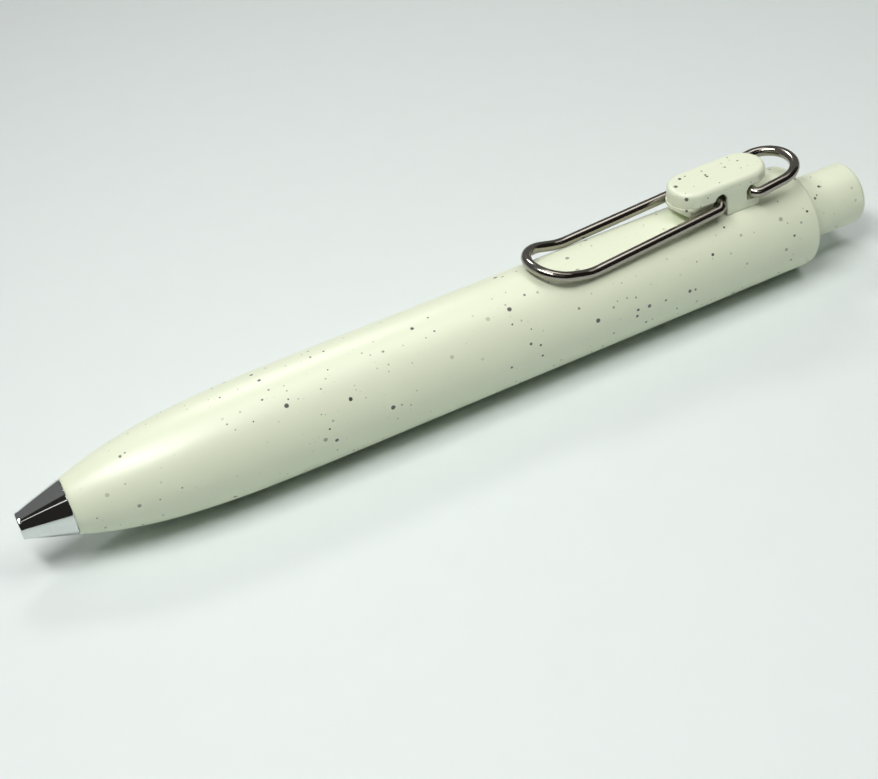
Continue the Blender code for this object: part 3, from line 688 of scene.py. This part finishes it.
def barrel():
    start = NOSE_END + SEAM
    rear = bend_points(
        BARREL_END - BARREL_END_ROUND, BARREL_RADIUS - BARREL_END_ROUND, BARREL_END_ROUND, 90, 0, 10
    )
    front = [(s, barrel_radius(s)) for s in stations(start + 0.1, GRIP_TAPER_END, 72)[::-1]]
    outside = [(s, barrel_radius(s)) for s in stations(GRIP_TAPER_END, 106.0, 24)[::-1]]
    lip = [(start + 0.03, barrel_radius(start) - 0.03), (start, barrel_radius(start) - 0.12)]
    socket = [(start, NOSE_SOCKET_RADIUS + 0.1), (start + 0.1, NOSE_SOCKET_RADIUS)]
    socket += [(s, NOSE_SOCKET_RADIUS) for s in stations(start + 0.5, NOSE_SOCKET_END, 64)]
    inside = [
        (NOSE_SOCKET_END + 1.0, MAIN_BORE_RADIUS),
        (REAR_BORE_START, MAIN_BORE_RADIUS),
        (REAR_BORE_START, REAR_BORE_RADIUS),
        (BARREL_END - 0.1, REAR_BORE_RADIUS),
        (BARREL_END, REAR_BORE_RADIUS + 0.1),
    ]

    def threads(station, radius, angle):
        if radius < NOSE_SOCKET_RADIUS + 0.05:
            radius -= thread_wave(station, angle) * 0.6
        return station, radius

    mesh = turned_mesh("barrel_skin", rear + outside + front[1:] + lip + socket + inside, ROUND, threads)
    piece("barrel_skin", mesh, CREAM, "barrel", "cream_plastic", "barrel")


def nose_cone():
    outside = []
    for share in stations(1.0, 0.06, 28):
        straight = NOSE_RIM_RADIUS + (NOSE_BASE_RADIUS - NOSE_RIM_RADIUS) * share
        outside.append((NOSE_END * share, straight + NOSE_BULGE * 4 * share * (1 - share)))
    rim = bend_points(0.22, outside[-1][1] - 0.2, 0.2, 0, -90, 6)
    profile = [(SPIGOT_END, SPIGOT_RADIUS - 0.35), (SPIGOT_END - 0.35, SPIGOT_RADIUS)]
    profile += [(s, SPIGOT_RADIUS) for s in stations(THREAD_END, THREAD_START, 64)]
    profile += [
        (NOSE_END + 0.7, SPIGOT_RADIUS - 0.1),
        (NOSE_END + 0.05, SPIGOT_RADIUS - 0.1),
        (NOSE_END, SPIGOT_RADIUS),
        (NOSE_END, NOSE_BASE_RADIUS - 0.05),
        *outside,
        *rim,
        (0.0, NOSE_HOLE_RADIUS + 0.06),
        (0.06, NOSE_HOLE_RADIUS),
        (2.0, NOSE_HOLE_RADIUS),
        (NOSE_BORE_START, NOSE_BORE_RADIUS),
        (SPIGOT_END, NOSE_BORE_RADIUS),
    ]

    def threads(station, radius, angle):
        if radius == SPIGOT_RADIUS:
            radius += thread_wave(station, angle) - THREAD_DEPTH * 0.5
        return station, radius

    mesh = turned_mesh("nose_shell", profile, ROUND, threads)
    piece("nose_shell", mesh, CHROME, "nose", "chromed_metal", "nose_cone")


def knob():
    rim = bend_points(LENGTH - KNOB_ROUND, KNOB_RADIUS - KNOB_ROUND, KNOB_ROUND, 90, 0, 10)
    profile = [
        (LENGTH, 0),
        (LENGTH, KNOB_RADIUS * 0.5),
        *rim,
        *[(s, KNOB_RADIUS) for s in stations(LENGTH - 1.0, KNOB_START + 0.4, 10)],
        (KNOB_START, KNOB_RADIUS - 0.2),
        (KNOB_START, KNOB_HOLLOW_RADIUS),
        (KNOB_FLOOR, KNOB_HOLLOW_RADIUS - 0.05),
        (KNOB_FLOOR, 0),
    ]
    piece("knob_shell", turned_mesh("knob_shell", profile, ROUND), CREAM, "knob", "cream_plastic", "knob")


def near_multiple(angle, count, turn, half_width):
    """True where an angle is within half a width of one of count evenly spaced directions."""
    step = 2 * math.pi / count
    off = (angle - turn + step / 2) % step - step / 2
    return abs(off) <= half_width


def guide_sleeve():
    start, end = span("guide_sleeve")
    outer, bore, edge = REAR_BORE_RADIUS - 0.1, SLEEVE_BORE_RADIUS, 0.12
    rib_row = bore - 0.01
    profile = [
        (end, outer - edge),
        (end - edge, outer),
        (start, outer),
        (start, bore),
        (RIB_START, bore),
        (RIB_START + 0.05, rib_row),
        (RIB_END - 0.05, rib_row),
        (RIB_END, bore),
        (SLEEVE_LIP_START, bore),
        (SLEEVE_LIP_START, SLEEVE_LIP_RADIUS),
        (end - edge, SLEEVE_LIP_RADIUS),
        (end, SLEEVE_LIP_RADIUS + edge),
    ]

    def ribs(station, radius, angle):
        if radius == rib_row and near_multiple(angle, CAM_LUGS, 0, math.radians(RIB_HALF_DEG)):
            radius = RIB_RADIUS
        return station, radius

    mesh = turned_mesh("cam_sleeve", profile, ROUND, ribs)
    piece("cam_sleeve", mesh, GREY_ACETAL, "barrel", "grey_plastic", "guide_sleeve")


def toothed(teeth_station, outwards, lug_row, lug_turn):
    """A shape function that cuts V teeth in one end and raises the lugs on the marked rows."""

    def shape(station, radius, angle):
        if station == teeth_station and radius > CAM_HOLLOW_RADIUS + 0.1:
            phase = (angle * CAM_TEETH / (2 * math.pi)) % 1.0
            station -= outwards * CAM_TOOTH * max(0.0, 1 - abs(2 * phase - 1) * 1.6)
        if radius == lug_row and near_multiple(angle, CAM_LUGS, lug_turn, math.radians(LUG_HALF_DEG)):
            radius = LUG_RADIUS
        return station, radius

    return shape


def rotor():
    start, end = span("rotor")
    raised = ROTOR_RADIUS + LUG_RISE
    profile = [
        (end, 0),
        (end, ROTOR_STEM_RADIUS - 0.15),
        (end - 0.15, ROTOR_STEM_RADIUS),
        (98.4, ROTOR_STEM_RADIUS),
        (ROTOR_TEETH_START, 2.5),
        (ROTOR_TEETH_START, ROTOR_RADIUS),
        (98.3, ROTOR_RADIUS),
        (ROTOR_LUG_END + 0.05, ROTOR_RADIUS),
        (ROTOR_LUG_END, raised),
        (ROTOR_LUG_START, raised),
        (ROTOR_LUG_START - 0.05, ROTOR_RADIUS),
        (start, ROTOR_RADIUS),
        (start, CAM_HOLLOW_RADIUS),
        (ROTOR_HOLLOW_END, CAM_HOLLOW_RADIUS),
        (ROTOR_HOLLOW_END, 0),
    ]
    shape = toothed(ROTOR_TEETH_START, 1, raised, math.radians(22.5))
    mesh = turned_mesh("cam_rotor", profile, ROUND, shape)
    piece("cam_rotor", mesh, WHITE_ACETAL, "rotor", "white_plastic", "rotor")


def plunger():
    start, end = span("plunger")
    raised = PLUNGER_RADIUS + LUG_RISE
    profile = [
        (end, 0),
        (end, PLUNGER_HEAD_RADIUS - 0.2),
        (end - 0.2, PLUNGER_HEAD_RADIUS),
        (PLUNGER_HEAD_START, PLUNGER_HEAD_RADIUS),
        (PLUNGER_HEAD_START, PLUNGER_RADIUS),
        (PLUNGER_LUG_END + 0.05, PLUNGER_RADIUS),
        (PLUNGER_LUG_END, raised),
        (PLUNGER_LUG_START, raised),
        (PLUNGER_LUG_START - 0.05, PLUNGER_RADIUS),
        (start, PLUNGER_RADIUS),
        (start, CAM_HOLLOW_RADIUS + 0.11),
        (start + 0.6, CAM_HOLLOW_RADIUS),
        (PLUNGER_HOLLOW_END, CAM_HOLLOW_RADIUS),
        (PLUNGER_HOLLOW_END, 0),
    ]
    mesh = turned_mesh("cam_plunger", profile, ROUND, toothed(start, -1, raised, math.radians(45)))
    piece("cam_plunger", mesh, WHITE_ACETAL, "knob", "white_plastic", "plunger")


def cone_radius(distance):
    """Radius of the writing tip's cone at a distance behind its front edge."""
    return TIP_RIM_RADIUS + (TIP_RADIUS - 0.05 - TIP_RIM_RADIUS) * (distance / TIP_CONE_LENGTH) ** 0.9


def refill():
    """The refill's turned pieces, each with its own profile."""
    tip_start, shank_end = span("writing_tip")
    holder_start, holder_end = span("tip_holder")
    tube_start, tube_end = span("refill_tube")
    ink_start, ink_end = span("ink_column")
    follower_start, follower_end = span("ink_follower")
    float_start, float_end = span("follower_float")
    tail_start, tail_end = span("tail_plug")
    parts = {
        "writing_tip": (
            STEEL,
            "spring_steel",
            [
                (shank_end, TIP_SHANK_RADIUS),
                (TIP_SHOULDER, TIP_SHANK_RADIUS),
                (TIP_SHOULDER, TIP_RADIUS - 0.05),
                (TIP_SHOULDER - 0.1, TIP_RADIUS),
                (4.1, TIP_RADIUS),
                (3.95, TIP_RADIUS - 0.03),
                *[(s, cone_radius(s - tip_start)) for s in stations(3.9, tip_start, 10)],
                (tip_start - 0.02, TIP_BORE_RADIUS + 0.01),
                (tip_start + 0.02, TIP_BORE_RADIUS - 0.03),
                (tip_start + 0.4, TIP_BORE_RADIUS),
                (shank_end, TIP_BORE_RADIUS),
            ],
        ),
        "tip_holder": (
            WHITE_ACETAL,
            "white_plastic",
            [
                (holder_end, TUBE_PLUG_RADIUS - 0.1),
                (holder_end - 0.3, TUBE_PLUG_RADIUS),
                (tube_start - 0.3, TUBE_PLUG_RADIUS),
                (tube_start - 0.3, HOLDER_RADIUS - 0.1),
                (tube_start - 0.4, HOLDER_RADIUS),
                (24.4, HOLDER_RADIUS),
                (24.0, HOLDER_RADIUS - 0.4),
                (24.0, HOLDER_NECK_RADIUS + 0.1),
                (23.8, HOLDER_NECK_RADIUS),
                (holder_start + 0.3, HOLDER_NECK_RADIUS),
                (holder_start, HOLDER_NECK_RADIUS - 0.15),
                (holder_start, HOLDER_SEAT_RADIUS),
                (11.9, HOLDER_SEAT_RADIUS),
                (11.9, INK_BORE_RADIUS),
                (27.6, INK_BORE_RADIUS),
                (28.2, VALVE_BORE_RADIUS),
                (holder_end, VALVE_BORE_RADIUS),
            ],
        ),
        "refill_tube": (
            CLEAR,
            "clear_plastic",
            chamfered(
                [
                    (tube_end, TUBE_RADIUS),
                    (tube_start, TUBE_RADIUS),
                    (tube_start, TUBE_BORE_RADIUS),
                    (tube_end, TUBE_BORE_RADIUS),
                ]
            ),
        ),
        "ink_column": (
            INK,
            "gel_ink",
            [
                (ink_end + 0.35, 0),
                (ink_end + 0.2, 1.2),
                (ink_end - 0.2, INK_RADIUS),
                (ink_start, INK_RADIUS),
                (ink_start, 0),
            ],
        ),
        "ink_follower": (
            GREASE,
            "follower_grease",
            chamfered(
                [
                    (follower_end, INK_RADIUS),
                    (follower_start + 0.1, INK_RADIUS),
                    (follower_start + 0.1, FOLLOWER_BORE_RADIUS),
                    (follower_end, FOLLOWER_BORE_RADIUS),
                ],
                0.25,
            ),
        ),
        "follower_float": (
            CLEAR,
            "clear_plastic",
            [
                (float_end, 0),
                (float_end, FLOAT_RADIUS - 0.3),
                (float_end - 0.3, FLOAT_RADIUS),
                (float_start + 0.3, FLOAT_RADIUS),
                (float_start, FLOAT_RADIUS - 0.3),
                (float_start, 0),
            ],
        ),
        "tail_plug": (
            WHITE_ACETAL,
            "white_plastic",
            chamfered(
                [
                    (tail_end, TUBE_PLUG_RADIUS - 0.1),
                    (TAIL_FLANGE_END, TUBE_PLUG_RADIUS - 0.1),
                    (TAIL_FLANGE_END, TUBE_RADIUS),
                    (tube_end + 0.3, TUBE_RADIUS),
                    (tube_end + 0.3, TUBE_PLUG_RADIUS),
                    (tail_start, TUBE_PLUG_RADIUS),
                    (tail_start, INK_BORE_RADIUS),
                    (tail_end, INK_BORE_RADIUS),
                ]
            ),
        ),
    }
    for node, (finish, slot, profile) in parts.items():
        mesh = turned_mesh(f"{node}_fine", profile, FINE)
        piece(f"{node}_fine", mesh, finish, "refill", slot, node)
    for node in ("tip_ball", "valve_ball"):
        start, end = span(node)
        radius = (end - start) / 2
        arc = bend_points(start + radius, 0, radius, 90, -90, 24)
        arc[0], arc[-1] = (end, 0), (start, 0)
        piece(f"{node}_fine", turned_mesh(f"{node}_fine", arc, 48), STEEL, "refill", "spring_steel", node)
    coil = coil_points(2.4, 6.6, BALL_SPRING_RADIUS, 7, 0, 0, 16)
    mesh = wire_mesh("ball_spring_fine", coil, BALL_SPRING_WIRE_RADIUS, 10)
    piece("ball_spring_fine", mesh, STEEL, "refill", "spring_steel", "ball_spring")


def return_spring():
    start, end = span("return_spring")
    wire = SPRING_WIRE_RADIUS
    points = coil_points(start + wire, end - wire, SPRING_RADIUS, SPRING_TURNS, 1.0, 2.3 * wire)
    mesh = wire_mesh("return_spring_fine", points, wire, 12)
    made = piece("return_spring_fine", mesh, STEEL, "barrel", "spring_steel", "return_spring")
    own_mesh(made)


# ---------------------------------------------------------------- clip


def pill_outline(start, end, half_width):
    """Points round an oblong with round ends, rear end first."""
    points = []
    for centre, direction in ((end - half_width, 1), (start + half_width, -1)):
        for angle in stations(0, math.pi, PILL_STEPS):
            ahead, aside = half_width * math.sin(angle), half_width * math.cos(angle)
            points.append((centre + direction * ahead, -direction * aside))
    return points


def stacked(name, layers):
    """A solid from equal-length outlines of (station, y), each at its own height."""
    mesh = bpy.data.meshes.new(name)
    verts, faces = [], []
    for outline, height in layers:
        verts += [place(x, y, height) for x, y in outline]
    count = len(layers[0][0])
    faces.append(list(range(count))[::-1])
    faces.append([len(verts) - count + i for i in range(count)])
    for level in range(len(layers) - 1):
        for i in range(count):
            n = (i + 1) % count
            a, b = level * count + i, level * count + n
            faces.append([a, b, b + count, a + count])
    mesh.from_pydata(verts, [], faces)
    return tool_object(name, mesh)


def tool_object(name, mesh):
    shape = bmesh.new()
    shape.from_mesh(mesh)
    bmesh.ops.recalc_face_normals(shape, faces=shape.faces)
    shape.to_mesh(mesh)
    shape.free()
    made = bpy.data.objects.new(name, mesh)
    bpy.context.scene.collection.objects.link(made)
    return made


def block(name, low, high):
    outline = [(low[0], low[1]), (high[0], low[1]), (high[0], high[1]), (low[0], high[1])]
    return stacked(name, [(outline, low[2]), (outline, high[2])])


def bar(name, centre, radius, length, along, segments=64):
    """A cylinder along X or Y."""
    mesh = bpy.data.meshes.new(name)
    shape = bmesh.new()
    bmesh.ops.create_cone(
        shape,
        cap_ends=True,
        segments=segments,
        radius1=radius * MM,
        radius2=radius * MM,
        depth=length * MM,
    )
    turn = Matrix.Rotation(math.pi / 2, 4, {"X": "Y", "Y": "X"}[along])
    shape.transform(Matrix.Translation(place(*centre)) @ turn)
    shape.to_mesh(mesh)
    shape.free()
    return tool_object(name, mesh)


def moulded_mesh(name, body, changes):
    """The body with tools joined to it or cut from it, remeshed so that its edges round over."""
    for operation, tool in changes:
        change = body.modifiers.new(operation.lower(), "BOOLEAN")
        change.operation = operation
        change.solver = "EXACT"
        change.object = tool
    remesh = body.modifiers.new("remesh", "REMESH")
    remesh.mode = "VOXEL"
    remesh.voxel_size = MOULD_VOXEL * MM
    soften = body.modifiers.new("soften", "SMOOTH")
    soften.factor = 0.5
    soften.iterations = 3
    graph = bpy.context.evaluated_depsgraph_get()
    mesh = bpy.data.meshes.new_from_object(body.evaluated_get(graph))
    mesh.name = name
    for tool in [body] + [tool for _, tool in changes]:
        bpy.data.objects.remove(tool, do_unlink=True)
    return mesh


def seat(name):
    middle = (CAP_START + CAP_END) / 2
    return bar(name, (middle, 0, 0), SEAT_RADIUS, CAP_END - CAP_START + 8, "X", 192)


def clip_cap():
    layers = [(pill_outline(CAP_START, CAP_END, CAP_HALF_WIDTH), CAP_BOTTOM)]
    for i in range(9):
        angle = math.radians(90 * i / 8)
        inset = CAP_DRAFT + CAP_TOP_ROUND * (1 - math.cos(angle))
        height = CAP_TOP - CAP_TOP_ROUND * (1 - math.sin(angle))
        outline = pill_outline(CAP_START + inset, CAP_END - inset, CAP_HALF_WIDTH - inset)
        layers.append((outline, height))
    body = stacked("cap_body", layers)
    inner, outer = CAP_HALF_WIDTH - LEG_THICKNESS, CAP_HALF_WIDTH - 0.005
    changes = []
    for side, name in ((-1, "near"), (1, "far")):
        low, high = sorted((side * inner, side * outer))
        leg = block(f"cap_leg_{name}", (LEG_START, low, LEG_FOOT), (LEG_END, high, CAP_ROOF))
        changes.append(("UNION", leg))
    recess = block(
        "cap_recess",
        (BASE_BLOCK_END, -RECESS_HALF_WIDTH, CAP_BOTTOM - CUT_REACH),
        (RECESS_END, RECESS_HALF_WIDTH, CAP_ROOF),
    )
    arch_middle = ARCH_TOP - ARCH_RADIUS
    arch = bar("cap_arch", (ARCH_STATION, 0, arch_middle), ARCH_RADIUS, 2 * CUT_REACH, "Y")
    way_in = block(
        "cap_way_in",
        (ARCH_STATION - ARCH_RADIUS, -CUT_REACH, CAP_BOTTOM - CUT_REACH),
        (LEG_START, CUT_REACH, arch_middle),
    )
    corner, corner_middle = SLOT_START + SLOT_CORNER, SLOT_TOP - SLOT_CORNER
    hole = bar("cap_hole", (corner, 0, corner_middle), SLOT_CORNER, 2 * CUT_REACH, "Y")
    below = block(
        "cap_slot_front", (SLOT_START, -CUT_REACH, SLOT_BOTTOM), (corner + 0.1, CUT_REACH, corner_middle)
    )
    slot = block("cap_slot", (corner, -CUT_REACH, SLOT_BOTTOM), (SLOT_END, CUT_REACH, SLOT_TOP))
    tools = (recess, arch, way_in, hole, below, slot, seat("cap_seat"))
    cuts = [("DIFFERENCE", tool) for tool in tools]
    mesh = moulded_mesh("cap_shell", body, changes + cuts)
    piece("cap_shell", mesh, CREAM, "barrel", "cream_plastic", "clip_cap", sharp=60)


def base_outline(half_width):
    """The cap's round front end, narrowed to a half width and closed behind the block."""
    front = pill_outline(CAP_START - BASE_LIP, CAP_END, CAP_HALF_WIDTH + BASE_LIP)[PILL_STEPS + 1 :]
    outline = [(x, max(-half_width, min(half_width, y))) for x, y in front]
    return outline + [(BASE_BLOCK_END, -half_width), (BASE_BLOCK_END, half_width)]


def clip_base():
    """The block under the cap's front: a lip in line with the cap, a wall, and a ramp below."""
    lip = base_outline(BASE_HALF_WIDTH)
    wall = base_outline(BASE_WALL_HALF_WIDTH)
    body = stacked("base_body", [(lip, BASE_LIP_BOTTOM), (lip, BASE_TOP)])
    lower = stacked("base_wall", [(wall, BASE_FOOT), (wall, BASE_LIP_BOTTOM + 0.1)])
    spine = block(
        "base_spine",
        (BASE_BLOCK_END - 0.4, -SPINE_HALF_WIDTH, BASE_FOOT),
        (SPINE_END, SPINE_HALF_WIDTH, SPINE_TOP),
    )
    (front, front_top), (back, back_top) = RAMP_START, RAMP_END
    below = [(front, -CUT_REACH), (back, -CUT_REACH), (back, CUT_REACH), (front, CUT_REACH)]
    ramp = stacked("base_ramp", [(below, RAMP_BOTTOM), (below, front_top)])
    tops = (front_top, back_top, back_top, front_top)
    for vertex, top in zip(list(ramp.data.vertices)[len(below) :], tops):
        vertex.co.z = place(0, 0, top).z
    changes = [("UNION", lower), ("UNION", spine)]
    changes += [("DIFFERENCE", ramp), ("DIFFERENCE", seat("base_seat"))]
    mesh = moulded_mesh("base_block", body, changes)
    piece("base_block", mesh, CREAM, "barrel", "cream_plastic", "clip_base", sharp=60)


def clip_wire():
    def mirrored(corners):
        return [((x, -y, z), bend) for (x, y, z), bend in reversed(corners)]

    low, high = LOOP_HEIGHTS
    front_height, rear_height = INNER_HEIGHTS
    middle = (front_height + rear_height) / 2
    rear = [
        ((REAR_CROSSING, INNER_SPREAD, rear_height), HOOK_BEND),
        ((REAR_CROSSING, LOOP_SPREAD, low), HOOK_BEND),
        ((LOOP_END, LOOP_SPREAD, high), LOOP_SPREAD - END_BEND_SLACK),
    ]
    front = [
        ((ARCH_STATION, -INNER_SPREAD, front_height), HOOK_BEND),
        ((ARCH_STATION, -ARM_SPREAD_AT_HOLDER, ARM_HEIGHT_AT_HOLDER), HOOK_BEND),
        ((TOUCH_STATION, -ARM_SPREAD, TOUCH_HEIGHT), TOUCH_BEND),
        ((FRONT_STATION, -ARM_SPREAD, FRONT_HEIGHT), ARM_SPREAD - END_BEND_SLACK),
    ]
    station = (ARCH_STATION + REAR_CROSSING) / 2
    start = ((station + END_BUTT, INNER_SPREAD, middle), 0)
    end = ((station - END_BUTT, INNER_SPREAD, middle), 0)
    corners = [start, *rear, *mirrored(rear), *front, *mirrored(front), end]
    mesh = wire_mesh("clip_loop", rounded_path(corners, 18), WIRE_RADIUS, 32)
    piece("clip_loop", mesh, NICKEL, "clip", "dark_nickel", "clip_wire", sharp=50)


# ---------------------------------------------------------------- the pen

CREAM = cream_plastic()
CHROME = chrome()
NICKEL = dark_nickel()
STEEL = steel()
GREY_ACETAL = acetal("grey_plastic", (0.36, 0.37, 0.38), (0.45, 0.46, 0.47))
WHITE_ACETAL = acetal("white_plastic", (0.76, 0.76, 0.73), (0.84, 0.84, 0.82))
CLEAR = clear_plastic()
INK = fluid("gel_ink", (0.006, 0.006, 0.008), (0.014, 0.014, 0.018), 0.22)
GREASE = fluid("follower_grease", (0.74, 0.70, 0.54), (0.84, 0.80, 0.64), 0.3)

camera()
world()
lights()
floor()
barrel()
nose_cone()
knob()
guide_sleeve()
rotor()
plunger()
refill()
return_spring()
clip_base()
clip_cap()
clip_wire()
